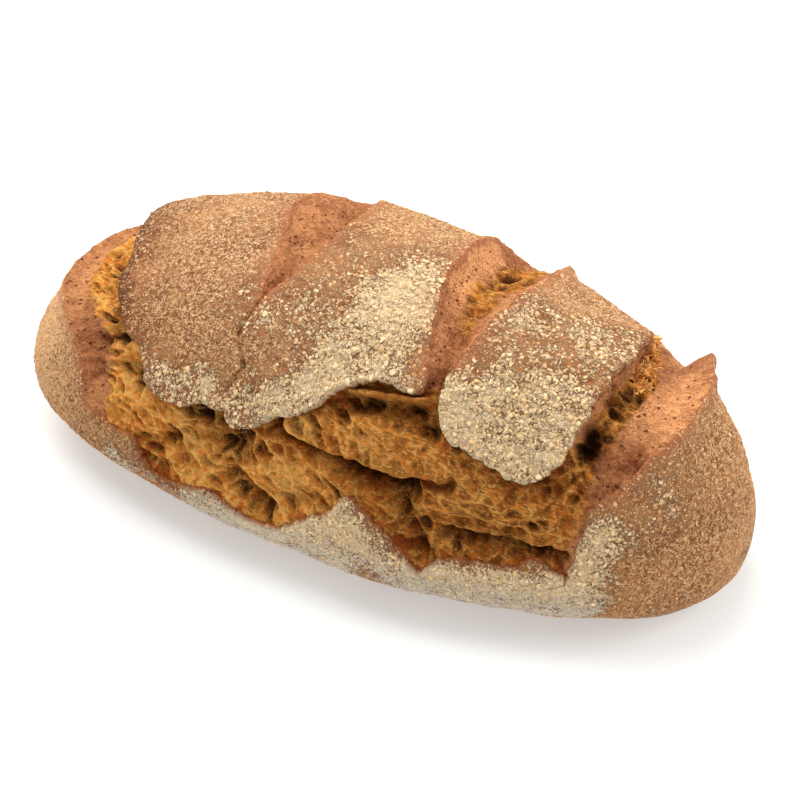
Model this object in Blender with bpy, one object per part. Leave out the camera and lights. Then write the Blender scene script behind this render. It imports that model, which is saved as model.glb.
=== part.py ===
"""A long spelt sourdough loaf: one solid with a flat base, four slashes across its top and a wide tear along its front.

X runs along the loaf, the torn front faces -Y and Z is up. The origin is under the middle, on the flat base.
A place on the loaf is given as (millimetres along from the middle, degrees around): 0 degrees is the front
at the widest height, 90 the crest, 180 the back and -90 the underside.
"""

import math

import bpy
import numpy as np
from mathutils import Vector, kdtree, noise

MM = 0.001

# The whole form, in metres
LENGTH = 0.290
HALF_WIDTH = 0.072
HEIGHT = 0.102
WAIST = 0.022  # height at which the loaf is widest
PLAN_ROUNDNESS = (2.75, 2.2)  # left and right end, seen from above: 2 is an ellipse, more is fuller
TOP_ROUNDNESS = (2.0, 2.7)  # the same for the line of the crest, seen from the side
SIDE_ROUNDNESS = 2.2  # cross-section, sideways
TOP_SWELL = 0.10  # share by which the crest is higher to the right than to the left
UNDER_DROP = 1.20  # how far the round underside would reach below the table, before it is flattened
BASE_EDGE = 0.0015  # softness of the turn from the side into the flat base

# The edges of the torn crust, one closed line in this order. Each has a lip, from 0 for a ridge that falls straight
# into the crumb to 1 for a plate that overhangs it, and an ear, the height in mm to which the edge is lifted.
TEAR = (
    ("left ear", 0.0, 2.2, ((-92, 16), (-98, 28), (-107, 39), (-118, 50), (-128, 64), (-131, 80),
                            (-130, 95), (-128, 108))),
    ("left ear, back", 0.0, 0.4, ((-124, 122), (-116, 138), (-106, 150))),
    ("first plate, back", 0.3, 1.0, ((-100, 146), (-103, 130))),
    ("first plate, left side", 0.8, 1.8, ((-106, 114), (-107, 99), (-103, 89), (-96, 74),
                                          (-93, 64), (-88, 55), (-78, 45), (-70, 42))),
    ("first plate, lower side", 1.0, 1.4, ((-66, 34), (-60, 30), (-49, 30), (-42, 32), (-31, 32), (-26, 29),
                                           (-20, 30), (-12, 35), (-3, 38), (5, 45), (15, 51), (24, 54), (36, 53))),
    ("third slash, left side", 0.25, 1.8, ((38, 58), (35, 66), (31, 76), (26, 90), (24, 105), (22, 120),
                                           (22, 136), (28, 148))),
    ("third slash, right side", 0.15, 0.6, ((36, 152), (46, 140), (53, 124), (55, 110), (54, 94), (51, 76),
                                            (48, 63))),
    ("second plate, lower side", 1.0, 1.4, ((49, 56), (50, 50), (54, 44), (62, 42), (72, 40), (80, 38),
                                            (86, 40), (90, 46))),
    ("second plate, right side", 0.6, 1.0, ((93, 56), (94, 68), (96, 84), (97, 95), (95, 108), (91, 124),
                                            (87, 138))),
    ("right end, back", 0.0, -1.0, ((94, 153), (102, 148), (107, 141))),
    ("right ear", 0.0, 6.5, ((109, 135), (113, 126), (118, 114))),
    ("right ear, front", 0.0, 4.5, ((122, 100), (123, 85), (121, 68))),
    ("right rim", 0.1, 0.6, ((117, 52), (112, 40), (106, 33), (105, 24), (104, 14))),
    ("lower rim", 0.45, 0.5, ((102, 8), (97, 10), (91, 13), (86, 9), (76, 8), (64, 8), (57, 5), (52, 1), (46, 4),
                              (38, 9), (29, 14), (22, 17), (18, 12), (9, 7), (-2, 1), (-11, -4), (-20, -2),
                              (-33, 2), (-45, 0), (-56, -4), (-65, 2), (-71, 9), (-82, 9))),
)
SECOND_SLASH = (
    ("second slash", 0.1, 0.6, ((-33, 62), (-36, 72), (-39, 82), (-46, 94), (-53, 107), (-55, 118), (-52, 130),
                                (-44, 138), (-34, 134), (-26, 120), (-21, 104), (-22, 87), (-25, 77), (-30, 67))),
)

# Hollows and swellings of the torn crumb: from one place to another, radius and height in mm
CRUMB_FORMS = (
    ((-10, 36), (58, 35), 11, 4.0),  # swollen sheet under the first plate
    ((58, 26), (92, 28), 13, 4.5),  # swollen crumb under the second plate
    ((-75, 20), (-45, 16), 12, 2.5),
    ((-20, 14), (25, 20), 8, 2.0),
    ((-16, 30), (20, 26), 5, -8.0),  # long hollow under the swollen sheet
    ((20, 26), (42, 24), 6, -10.0),
    ((44, 29), (56, 30), 3, -7.0),
    ((8, 46), (36, 46), 4, -6.0),  # arch under the first plate's lip
    ((-38, 21), (-30, 19), 8, -7.0),  # crater
    ((-30, 8), (-12, 2), 4, -6.0),
    ((40, 19), (52, 6), 3, -6.0),  # upright crevice
    ((58, 14), (98, 15), 3, -6.0),  # gap behind the lower rim
    ((100, 58), (101, 50), 5, -8.0),  # hole between the second plate and the right end
    ((99, 74), (103, 70), 4, -5.0),
    ((104, 38), (104, 36), 4, -3.0),
    ((45, 43), (47, 42), 5, -3.5),
    ((84, 38), (93, 38), 4, -3.5),
    ((-97, 54), (-92, 46), 8, -4.0),  # pockets of the first slash
    ((-106, 74), (-106, 68), 6, -2.5),
    ((-104, 120), (-108, 94), 5, -3.5),
    ((-80, 33), (-76, 30), 5, -5.0),
    ((-96, 34), (-93, 24), 3, -5.0),
    ((28, 138), (37, 98), 8, -5.5),  # valley of the third slash
    ((40, 84), (44, 58), 6, -3.0),
    ((102, 142), (106, 100), 9, -9.0),  # valley of the fourth slash
    ((106, 100), (103, 78), 7, -4.0),
    ((-46, 112), (-36, 90), 12, 6.5),  # mound in the second slash
    ((-32, 128), (-24, 100), 6, -5.0),
    ((-52, 132), (-38, 130), 9, -3.5),
    ((-33, 68), (-31, 72), 3, -2.5),
    ((-120, 92), (-112, 105), 10, 1.5),
)
# Broad swellings of the whole form, in the same way
BODY_FORMS = (
    ((60, 116), (112, 118), 30, -3.5),
    ((72, 112), (90, 122), 16, -4.0),
    ((62, 130), (76, 138), 13, -4.0),
    ((94, 144), (104, 146), 10, -4.5),
    ((52, 126), (57, 112), 7, 4.0),
    ((6, 114), (26, 142), 16, -3.0),
    ((-72, 110), (-50, 112), 15, -2.6),
    ((-94, 104), (-84, 106), 9, 2.0),
    ((-126, 116), (-112, 138), 22, -4.0),
    ((-141, 0), (-138, 50), 20, -0.9),
    ((126, 136), (135, 146), 13, -2.4),
    ((-34, -14), (40, -14), 14, 1.6),
    ((100, -20), (128, -12), 14, 0.8),
    ((-15, 100), (10, 95), 35, 1.0),
)
CRACK = ((-33, 62), (-36, 53), (-29, 44), (-33, 36))  # thin crack below the second slash
CRACK_WIDTH, CRACK_DEPTH = 1.6, 1.6

TEAR_DEPTH = 7.0  # general depth of the torn crumb below the crust
LIP_THICKNESS = 2.6  # thickness of an overhanging plate
LIP_REACH = 2.6  # how far an overhanging plate leans out over the crumb
UNDERCUT = 3.0  # how far the crumb goes in below it
RIDGE_SLOPE = 8.0  # width over which the crumb falls from a ridge
EAR_WIDTH = 5.0
RAGGED = 1.1  # how far the torn edge wanders off its line
SNAP = 0.85  # points nearer than this to a torn edge are moved onto it
FADE_FROM, FADE_TO = 132, 153  # degrees over which the slashes grow shallow behind the crest

RINGS, SEGMENTS = 340, 320
TRIANGLES = 11600


def rounded(share, roundness):
    """How wide the loaf still is at this share of the way to its end."""
    return (1 - np.abs(share) ** roundness) ** (1 / roundness)


def loaf_surface(along, around):
    """Points of the plain loaf, in mm, for arrays of places."""
    share = np.clip(along / (LENGTH / MM / 2), -1, 1)
    left = share < 0
    plan = np.where(left, rounded(share, PLAN_ROUNDNESS[0]), rounded(share, PLAN_ROUNDNESS[1]))
    crest = np.where(left, rounded(share, TOP_ROUNDNESS[0]), rounded(share, TOP_ROUNDNESS[1]))
    turn = np.radians(around)
    sideways = -np.sign(np.cos(turn)) * np.abs(np.cos(turn)) ** (2 / SIDE_ROUNDNESS)
    waist = WAIST / MM
    above = (HEIGHT / MM - waist) * (1 + TOP_SWELL * share) * crest
    below = waist * UNDER_DROP * crest**0.7
    height = waist + np.sin(turn) * np.where(np.sin(turn) > 0, above, below)
    return np.stack([share * LENGTH / MM / 2, sideways * HALF_WIDTH / MM * plan, height], -1)


def loaf_normal(along, around):
    """Unit normals of the plain loaf, pointing out, and unit directions around it, upwards on the front."""
    step = 0.4
    forward = loaf_surface(np.minimum(along + step, 144.9), around) - loaf_surface(
        np.maximum(along - step, -144.9), around
    )
    upward = loaf_surface(along, around + step) - loaf_surface(along, around - step)
    normal = np.cross(forward, upward)
    normal /= np.linalg.norm(normal, axis=-1, keepdims=True) + 1e-12
    outward = loaf_surface(along, around) - np.array([0, 0, WAIST / MM])
    normal *= np.sign((normal * outward).sum(-1, keepdims=True))
    return normal


def smooth_noise(points, size, seed):
    """Noise between about -1 and 1 with lumps of this size in mm."""
    shift = Vector((seed * 17.3, seed * 5.1, seed * 9.7))
    return np.array([noise.noise(Vector(p) / size + shift) for p in points])


def smooth_line(places, closed):
    """A Catmull-Rom curve through the places, with a point about every millimetre and a half."""
    rows = np.array(places, float)
    count = len(rows)
    found = []
    for i in range(count if closed else count - 1):
        if closed:
            a, b, c, d = (rows[(i + k) % count] for k in (-1, 0, 1, 2))
        else:
            a, b, c, d = (rows[min(max(i + k, 0), count - 1)] for k in (-1, 0, 1, 2))
        gap = np.linalg.norm(loaf_surface(b[0], b[1]) - loaf_surface(c[0], c[1]))
        for t in np.linspace(0, 1, max(2, round(gap / 1.5)), endpoint=False):
            found.append(
                0.5 * (2 * b + (c - a) * t + (2 * a - 5 * b + 4 * c - d) * t**2 + (3 * b - a - 3 * c + d) * t**3)
            )
    return np.array(found)


def torn_outline(edges, seed):
    """The outline's places, points in mm, directions into the tear, and the lip and ear at each."""
    rows = [(*place, lip, ear) for _, lip, ear, places in edges for place in places]
    line = smooth_line(rows, closed=True)
    smooth = loaf_surface(line[:, 0], line[:, 1])
    for axis, per_mm in ((0, 1.0), (1, 0.7)):
        wander = smooth_noise(smooth, 5.0, seed + axis) + 0.5 * smooth_noise(smooth, 2.2, seed + 2 + axis)
        line[:, axis] += wander * RAGGED * per_mm
    points = loaf_surface(line[:, 0], line[:, 1])
    normals = loaf_normal(line[:, 0], line[:, 1])
    travel = np.roll(points, -1, 0) - np.roll(points, 1, 0)
    travel /= np.linalg.norm(travel, axis=1, keepdims=True)
    area = (line[:, 0] * np.roll(line[:, 1], -1) - line[:, 1] * np.roll(line[:, 0], -1)).sum()
    inward = np.cross(normals, travel) * np.sign(area)
    return line[:, :2], points, inward, np.clip(line[:, 2], 0, 1), line[:, 3]


def within(along, around, outline):
    """Which places lie inside the outline."""
    found = np.zeros(len(along), bool)
    for (x0, v0), (x1, v1) in zip(outline, np.roll(outline, -1, 0)):
        if v0 != v1:
            crossing = (v0 > around) != (v1 > around)
            found ^= crossing & (along < (x1 - x0) * (around - v0) / (v1 - v0) + x0)
    return found


def tear_fields(along, around, points, normals, edges, seed):
    """For each point of the loaf: its distance from the torn edge in mm, negative in the tear, the direction in
    which that distance grows, and the nearest edge's lip and ear."""
    outline, line, inward, lip, ear = torn_outline(edges, seed)
    tree = kdtree.KDTree(len(line))
    for i, p in enumerate(line):
        tree.insert(p, i)
    tree.balance()
    near = np.array([tree.find(p)[1] for p in points])
    best = np.full(len(points), 1e9)
    for a, b in ((near - 1, near), (near, (near + 1) % len(line))):
        start, run = line[a], line[b] - line[a]
        t = np.clip(((points - start) * run).sum(1) / (run * run).sum(1), 0, 1)
        best = np.minimum(best, np.linalg.norm(points - (start + run * t[:, None]), axis=1))
    distance = np.where(within(along, around, outline), -best, best)
    outward = -inward[near]
    outward = outward - normals * (outward * normals).sum(1)[:, None]
    return distance, outward, lip[near], ear[near]


def capsule(points, start, end, radius):
    """1 inside a rounded band from start to end, falling softly to 0 outside it."""
    a, b = (loaf_surface(*np.array(place, float)) for place in (start, end))
    run = b - a
    t = np.clip(((points - a) @ run) / max(run @ run, 1e-6), 0, 1)
    gap = np.linalg.norm(points - (a + t[:, None] * run), axis=1) / radius
    return np.exp(-(gap**2) * 1.2)


def forms(points, listed):
    """The listed swellings and hollows, added up, in mm."""
    return sum(height * capsule(points, start, end, radius) for start, end, radius, height in listed)


def crust_height(points):
    """Slow waves of the crust and the thin crack, in mm."""
    height = 0.9 * smooth_noise(points, 30.0, 3) + 0.35 * smooth_noise(points, 9.0, 4)
    for start, end in zip(CRACK, CRACK[1:]):
        height -= CRACK_DEPTH * capsule(points, start, end, CRACK_WIDTH)
    return height


def crumb_height(points):
    """Crags of the torn crumb, in mm."""
    crag = 1.3 * smooth_noise(points, 7.0, 5) + 0.9 * np.abs(smooth_noise(points, 3.6, 6))
    return forms(points, CRUMB_FORMS) + crag


def flattened(height):
    """Heights with everything under the table pressed up into one flat base, in mm."""
    edge = BASE_EDGE / MM
    soft = (height + edge) ** 2 / (4 * edge)
    return np.where(height < -edge, 0, np.where(height > edge, height, soft))


def shaped(along, around):
    """The finished loaf's points, in mm."""
    points = loaf_surface(along, around)
    normals = loaf_normal(along, around)
    distance, outward, lip, ear = tear_fields(along, around, points, normals, TEAR, 1)
    other = tear_fields(along, around, points, normals, SECOND_SLASH, 2)
    pick = other[0] < distance
    distance = np.where(pick, other[0], distance)
    outward = np.where(pick[:, None], other[1], outward)
    lip, ear = np.where(pick, other[2], lip), np.where(pick, other[3], ear)
    # Points beside a torn edge move onto it, so that it runs clean through the mesh.
    beside = np.abs(distance) < SNAP
    points = points - np.where(beside, distance, 0)[:, None] * outward
    distance = np.where(beside, 0, distance)
    behind = np.clip((around - FADE_FROM) / (FADE_TO - FADE_FROM), 0, 1)
    depth = np.where(pick, 0.55, 1.0) * (1 - 0.75 * behind) * TEAR_DEPTH

    inside = np.maximum(-distance, 0)
    outside = np.maximum(distance, 0)
    lift = ear * np.exp(-((outside / EAR_WIDTH) ** 2)) + crust_height(points)
    fall = RIDGE_SLOPE * (1 - lip) + 1.2 * lip
    edge_drop = LIP_THICKNESS * lip
    sunk = ear * np.exp(-inside / 2) - edge_drop * (1 - np.exp(-inside)) - (depth - edge_drop) * (
        1 - np.exp(-inside / fall)
    )
    sunk += crumb_height(points) * np.minimum(inside / 4, 1)
    height = np.where(distance > 0, lift, sunk) + forms(points, BODY_FORMS)
    # Past the edge a plate leans out over the crumb, and just inside the tear the crumb goes in below it.
    lean = np.where(
        distance > 0,
        -LIP_REACH * np.exp(-outside / 3),
        -LIP_REACH + (LIP_REACH + UNDERCUT) * np.minimum(inside / 1.6, 1) * np.exp(-np.maximum(inside - 1.6, 0) / 3),
    )
    lean = np.where(inside > 1.6, UNDERCUT * np.exp(-(inside - 1.6) / 2.5), lean)
    points = points + normals * height[:, None] + outward * (lean * lip)[:, None]
    points[:, 2] = flattened(points[:, 2])
    return points


def clear_scene():
    for item in list(bpy.data.objects):
        bpy.data.objects.remove(item, do_unlink=True)


def crust_material():
    made = bpy.data.materials.new("baked_crust")
    made.use_nodes = True
    shader = made.node_tree.nodes["Principled BSDF"]
    shader.inputs["Base Color"].default_value = (0.46, 0.26, 0.12, 1)
    shader.inputs["Roughness"].default_value = 0.8
    shader.inputs["Metallic"].default_value = 0.0
    return made


def make_loaf():
    """A ball with its poles at the loaf's two ends, shaped into the loaf and thinned to a light mesh."""
    bpy.ops.mesh.primitive_uv_sphere_add(segments=SEGMENTS, ring_count=RINGS, radius=1)
    loaf = bpy.context.object
    loaf.name = loaf.data.name = "loaf"
    ball = np.array([v.co for v in loaf.data.vertices], float)
    along = ball[:, 2] * LENGTH / MM / 2
    around = np.degrees(np.arctan2(ball[:, 1], ball[:, 0]))
    around = (around + 90) % 360 - 90
    points = shaped(along, around) * MM
    points -= (points.max(0) + points.min(0)) / 2 * (1, 1, 0)
    loaf.data.vertices.foreach_set("co", points.astype(np.float32).ravel())
    loaf.data.update()
    if volume(loaf.data) < 0:
        loaf.data.flip_normals()
    thin = loaf.modifiers.new("light mesh", "DECIMATE")
    thin.ratio = TRIANGLES / (2 * SEGMENTS * (RINGS - 1))
    loaf.data.shade_smooth()
    loaf.data.set_sharp_from_angle(angle=math.radians(50))
    loaf.data.materials.append(crust_material())
    return loaf


def volume(mesh):
    """Six times the signed volume that the faces enclose."""
    mesh.calc_loop_triangles()
    at = [v.co for v in mesh.vertices]
    return sum(at[a].dot(at[b].cross(at[c])) for a, b, c in (t.vertices for t in mesh.loop_triangles))


clear_scene()
make_loaf()
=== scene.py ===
"""Looks of a long spelt sourdough loaf: a floured crust with four slashes over a craggy torn crumb.

A place on the loaf is given as (millimetres along from the middle, degrees around): 0 degrees is the front at
the widest height, 90 the crest, 180 the back and -90 the underside.
"""

import itertools
import math

import bpy
import numpy as np
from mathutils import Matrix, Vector, kdtree, noise


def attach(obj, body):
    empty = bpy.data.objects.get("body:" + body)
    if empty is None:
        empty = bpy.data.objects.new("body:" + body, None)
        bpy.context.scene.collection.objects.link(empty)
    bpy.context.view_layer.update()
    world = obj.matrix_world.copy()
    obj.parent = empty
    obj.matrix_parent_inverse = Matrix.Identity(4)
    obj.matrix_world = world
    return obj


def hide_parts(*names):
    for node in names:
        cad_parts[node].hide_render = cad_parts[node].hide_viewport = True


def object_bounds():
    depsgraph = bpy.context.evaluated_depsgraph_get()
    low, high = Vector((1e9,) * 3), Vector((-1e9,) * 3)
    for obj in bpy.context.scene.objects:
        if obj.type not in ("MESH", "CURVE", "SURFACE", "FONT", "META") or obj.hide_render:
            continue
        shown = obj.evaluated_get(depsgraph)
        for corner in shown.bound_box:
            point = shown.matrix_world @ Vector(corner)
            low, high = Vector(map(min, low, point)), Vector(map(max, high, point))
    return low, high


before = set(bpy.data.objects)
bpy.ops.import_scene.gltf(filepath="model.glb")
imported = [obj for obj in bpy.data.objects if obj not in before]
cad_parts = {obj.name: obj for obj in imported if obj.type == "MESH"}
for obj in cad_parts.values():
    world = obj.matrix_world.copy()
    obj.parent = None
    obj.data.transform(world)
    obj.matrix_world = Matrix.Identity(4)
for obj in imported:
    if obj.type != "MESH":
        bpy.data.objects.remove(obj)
cad_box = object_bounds()

MM = 0.001
HALF_LENGTH, HALF_WIDTH, HEIGHT, WAIST = 145.0, 72.0, 102.0, 22.0
PLAN_ROUNDNESS = (2.75, 2.2)
TOP_ROUNDNESS = (2.0, 2.7)
SIDE_ROUNDNESS = 2.2
TOP_SWELL = 0.10
UNDER_DROP = 1.20
UNDER_ROUNDNESS = 0.7
BASE_EDGE = 1.5  # height in mm below which the body bends flat onto the table
CENTRE = np.array((0.05, -0.79, 0.0))  # what is taken off so that the loaf's middle is the origin

# Stretches of torn edge in their order round the tear. Of each: lip (0 a ridge, 1 an overhanging plate), ear
# (mm that the edge is lifted), bake (mm of smooth baked wall below it), burn (0 to 1), and its places.
TEAR = (
    (0.0, 2.2, 9.0, 0.15, ((-92, 16), (-98, 28), (-107, 39), (-118, 50), (-128, 64), (-131, 80),
                           (-130, 95), (-128, 108))),
    (0.0, 0.4, 9.0, 0.15, ((-124, 126), (-116, 138), (-106, 150))),
    (0.3, 1.0, 3.0, 0.30, ((-100, 146), (-103, 130))),
    (0.8, 1.8, 1.0, 0.90, ((-106, 114), (-107, 99), (-103, 89), (-96, 74), (-93, 64), (-88, 55))),
    (0.8, 1.8, 0.0, 0.40, ((-78, 45), (-70, 42))),
    (1.0, 1.4, 0.0, 0.10, ((-66, 34), (-60, 30), (-49, 30), (-42, 32), (-31, 32), (-26, 29),
                           (-20, 30), (-12, 35), (-3, 38), (5, 45), (15, 51), (24, 54), (36, 53))),
    (0.05, 1.3, 9.0, 0.2, ((38, 58), (35, 66), (31, 76), (26, 90), (24, 105), (22, 120), (22, 136),
                           (28, 148))),
    (0.15, 0.6, 8.0, 0.15, ((36, 152), (46, 140), (53, 124), (55, 110), (54, 94), (51, 76), (48, 63))),
    (1.0, 1.4, 0.0, 0.10, ((49, 56), (50, 50), (54, 44), (62, 42), (72, 40), (80, 38), (86, 40), (90, 46))),
    (0.6, 1.0, 5.0, 0.35, ((93, 56), (94, 68), (96, 84), (97, 95), (95, 108), (91, 124), (87, 138))),
    (0.0, -1.0, 8.0, 0.1, ((94, 153), (102, 148), (107, 141))),
    (0.0, 6.5, 16.0, 0.1, ((109, 135), (113, 126), (118, 114))),
    (0.0, 4.5, 18.0, 0.1, ((122, 100), (123, 85), (121, 68))),
    (0.1, 0.6, 12.0, 0.1, ((117, 52), (112, 40))),
    (0.1, 0.6, 3.0, 0.1, ((106, 33), (105, 24), (104, 14))),
    (0.45, 0.5, 0.0, 0.1, ((102, 8), (97, 10), (91, 13), (86, 9), (76, 8), (64, 8), (57, 5), (52, 1), (46, 4),
                           (38, 9), (29, 14), (22, 17), (18, 12), (9, 7), (-2, 1), (-11, -4), (-20, -2),
                           (-33, 2), (-45, 0), (-56, -4), (-65, 2), (-71, 9), (-82, 9))),
)
SECOND_SLASH = (
    (0.1, 0.6, 30.0, 0.3, ((-33, 62), (-36, 72), (-39, 82), (-46, 94), (-53, 107), (-55, 118), (-52, 130),
                           (-44, 138), (-34, 134), (-26, 120), (-21, 104), (-22, 87), (-25, 77), (-30, 67))),
)

# Hollows and swellings of the torn crumb: two places, radius and height in mm
CRUMB_FORMS = (
    ((-10, 36), (58, 35), 11, 5.5),  # swollen sheet under the first plate
    ((-6, 31), (54, 30), 4, 2.0),  # its lower edge, hanging over the long hollow
    ((58, 26), (92, 28), 13, 5.0),  # swollen crumb under the second plate
    ((-75, 20), (-45, 16), 12, 2.5),
    ((-20, 14), (25, 20), 8, 2.0),
    ((-14, 30), (20, 25), 4, -11.0),  # long hollow under the swollen sheet
    ((18, 25), (42, 24), 5, -13.0),
    ((44, 29), (58, 30), 3, -9.0),
    ((2, 44), (38, 46), 5, -6.0),  # arch under the first plate's lip
    ((12, 46.5), (42, 50), 1.8, 9.0),  # second thin ledge over it
    ((-38, 26), (-30, 20), 9, -9.0),  # crater
    ((-28, 9), (-12, 3), 4, -8.0),
    ((-55, 14), (-44, 7), 3, -5.0),
    ((40, 19), (52, 6), 3, -7.0),  # upright crevice
    ((58, 14), (98, 15), 2.5, -9.0),  # gap behind the lower rim
    ((60, 19), (86, 20), 2.5, -4.0),
    ((100, 58), (101, 50), 5, -12.0),  # hole between the second plate and the right end
    ((99, 74), (103, 70), 4, -6.0),
    ((102, 36), (98, 26), 3, -4.0),
    ((45, 43), (47, 42), 4, -5.0),
    ((78, 36), (93, 36), 4, -5.0),
    ((-97, 54), (-92, 46), 7, -9.0),  # pockets of the first slash
    ((-110, 76), (-108, 66), 6, -8.0),
    ((-106, 118), (-112, 94), 5, -8.0),
    ((-80, 33), (-76, 30), 5, -6.0),
    ((-99, 40), (-94, 26), 2.5, -7.0),
    ((28, 138), (37, 98), 8, -5.5),  # valley of the third slash
    ((40, 84), (44, 58), 6, -3.0),
    ((102, 142), (106, 100), 9, -7.0),  # valley of the fourth slash
    ((97, 114), (106, 98), 6, 8.0),  # crest of torn crumb in it
    ((106, 100), (103, 78), 7, -1.5),
    ((-46, 112), (-36, 90), 12, 6.5),  # mound in the second slash
    ((-32, 128), (-24, 100), 6, -5.0),
    ((-52, 132), (-38, 130), 9, -3.5),
    ((-33, 68), (-31, 72), 3, -2.5),
    ((-120, 92), (-112, 105), 10, 1.5),
)
SAGGING = (
    ((-6, 31), (54, 30), 4, 3.5),  # how far the sheet's lower edge hangs down
)

# The walls' tones below are partly their own and partly painted light and shade: walls turned from the lamps
# are lightened, and walls turned up to them and the feet and floors where shade falls are darkened.
# How light the smooth baked walls are: two places, radius, and how much is added to the middling tone
WALL_TONES_AND_PAINTED_LIGHT = (
    ((-50, 116), (-26, 90), 20, -0.08),  # second slash
    ((-112, 104), (-100, 44), 10, -0.2),  # band and pockets of the first slash
    ((-128, 100), (-122, 66), 8, 0.16),
    ((122, 108), (120, 72), 11, 0.42),  # wall of the right ear
    ((116, 56), (108, 34), 9, -0.34),  # foot of that wall
    ((30, 128), (28, 90), 9, 0.42),  # left shoulder of the third slash
    ((46, 110), (42, 72), 4, -0.3),  # its floor
    ((53, 106), (49, 70), 4, 0.45),
)

# Swellings and hollows of the whole body: two places, radius and height in mm
BODY_FORMS = (
    ((60, 116), (112, 118), 30, -3.5),
    ((72, 112), (90, 126), 16, -4.0),
    ((62, 130), (76, 138), 13, -4.0),
    ((94, 144), (104, 146), 10, -4.5),
    ((52, 126), (57, 112), 7, 4.0),
    ((6, 114), (26, 142), 16, -3.0),
    ((-72, 110), (-50, 112), 15, -2.6),
    ((-94, 104), (-84, 106), 9, 2.0),
    ((-126, 116), (-112, 138), 22, -4.0),
    ((-141, 0), (-138, 50), 20, -0.9),
    ((126, 136), (135, 146), 13, -2.4),
    ((-34, -14), (40, -14), 14, 1.6),
    ((100, -20), (128, -12), 14, 0.8),
    ((-15, 100), (10, 95), 35, 1.0),
)
# Crack that runs on from the second slash towards the lip
CRACK = ((-33, 62), (-36, 53), (-29, 44), (-33, 36))

# Where flour lies: two places, radius in mm and how thick, added to the thin dusting everywhere
DUSTING = 0.22
FLOUR = (
    ((-30, 58), (22, 72), 20, 0.3),  # first plate
    ((4, 52), (26, 74), 13, 0.26),
    ((-22, 36), (0, 46), 7, 0.35),
    ((-60, 36), (-52, 36), 5, 0.4),
    ((-45, 40), (-40, 36), 4, 0.35),
    ((-15, 90), (12, 84), 18, 0.18),
    ((10, 76), (20, 90), 11, 0.24),
    ((58, 48), (82, 48), 15, 0.42),  # second plate
    ((62, 62), (84, 66), 16, 0.34),
    ((62, 84), (84, 90), 16, 0.34),
    ((-4, -2), (22, 6), 8, 0.75),  # low front
    ((22, 13), (38, 1), 7, 0.5),
    ((-40, -10), (20, -12), 8, 0.5),
    ((50, -8), (106, -2), 9, 0.75),
    ((52, 3), (100, 7), 6, 0.45),
    ((106, 2), (110, 24), 9, 0.55),  # right end
    ((112, 24), (126, 50), 18, 0.2),
    ((-80, 0), (-72, -8), 5, 0.4),
)
LIP_FLOUR = 0.42  # how much more lies along the overhanging lips

# Sizes round the torn edges, in mm
TEAR_DEPTH = 7.0  # how far the crumb lies below the plain loaf
LIP_THICKNESS = 2.6
LIP_REACH = 2.6  # how far a lip overhangs
RIDGE_SLOPE = 8.0  # over how much the crumb falls away from a ridge
EAR_WIDTH = 5.0
RAGGED = 1.1  # how far an edge wanders, coarsely
FRAYED = 0.7  # and finely
SNAP = 0.3  # points this close to an edge are drawn onto it
FADE_FROM, FADE_TO = 132, 153  # degrees around over which the slashes run out
FLOOR_DEPTH = 26.0  # how far the crust's body goes down under the crumb

CRUST_GRID = ((620, 600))  # rings along, segments around
CRUMB_GRID = ((600, 560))
PIECE_TRIANGLES = 195000


# Repeatable noise

TABLE_SIDE = 64  # cells along each side of the table of chances, a power of two
CHANCE = np.random.default_rng(7).random((TABLE_SIDE**3, 4)).astype(np.float32)
STEP_ASIDE = np.array((17.31, 5.17, 9.73))  # how far each seed moves the noise, in cells
LUMP_STEP_ASIDE = (17.3, 5.1, 9.7)
WAVE_GAIN = 1.6
FAR_OFF = 9.0  # more than the gap to the two nearest cells
TINY = 1e-12


def chances(cell):
    """Four repeatable numbers from 0 to 1 for each cell of space."""
    x, y, z = (cell & (TABLE_SIDE - 1)).T
    return CHANCE[(x * TABLE_SIDE + y) * TABLE_SIDE + z]


def waves(points, size, seed):
    """Smooth noise from about -1 to 1 with lumps of this size in mm."""
    at = (points / size + seed * STEP_ASIDE).astype(np.float32)
    cell = np.floor(at).astype(np.int32)
    part = at - cell
    ease = part * part * (3 - 2 * part)
    total = np.zeros(len(points), np.float32)
    for corner in itertools.product((0, 1), repeat=3):
        slope = chances(cell + np.array(corner, np.int32))[:, :3] * 2 - 1
        weight = np.ones(len(points), np.float32)
        reach = np.zeros(len(points), np.float32)
        for axis, side in enumerate(corner):
            weight *= ease[:, axis] if side else 1 - ease[:, axis]
            reach += (part[:, axis] - side) * slope[:, axis]
        total += weight * reach
    return total * WAVE_GAIN


def layers(points, listed):
    """Waves added up, each given by its height in mm, its size in mm and its seed."""
    return sum(height * waves(points, size, seed) for height, size, seed in listed)


def push(points, amount, size, seed):
    """How far waves of this size push each point about, each axis by its own."""
    return amount * np.stack([waves(points, size, seed + axis) for axis in range(3)], -1)


def bubbles(points, size, seed):
    """Of cells of this size in mm: how far in from the nearest wall each point is, and its cell's number."""
    at = (points / size + seed * STEP_ASIDE).astype(np.float32)
    base = np.floor(at).astype(np.int32)
    part = at - base
    first = np.full(len(points), FAR_OFF, np.float32)
    second = first.copy()
    name = np.zeros(len(points), np.float32)
    for step in itertools.product((-1, 0, 1), repeat=3):
        found = chances(base + np.array(step, np.int32))
        gap = np.zeros(len(points), np.float32)
        for axis, side in enumerate(step):
            gap += (part[:, axis] - side - found[:, axis]) ** 2
        nearer = gap < first
        second = np.where(nearer, first, np.minimum(second, gap))
        name = np.where(nearer, found[:, 3], name)
        first = np.minimum(first, gap)
    return np.sqrt(second) - np.sqrt(first), name


def lumps(points, size, seed):
    """Noise from about -1 to 1 with lumps of this size in mm, the same as in the solid."""
    shift = Vector([seed * step for step in LUMP_STEP_ASIDE])
    return np.array([noise.noise(Vector(p) + shift) for p in (points / size).tolist()])


def ramp(value, start, end):
    """0 before start, 1 after end, and smooth between them."""
    t = np.clip((value - start) / (end - start), 0, 1)
    return t * t * (3 - 2 * t)


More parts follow.
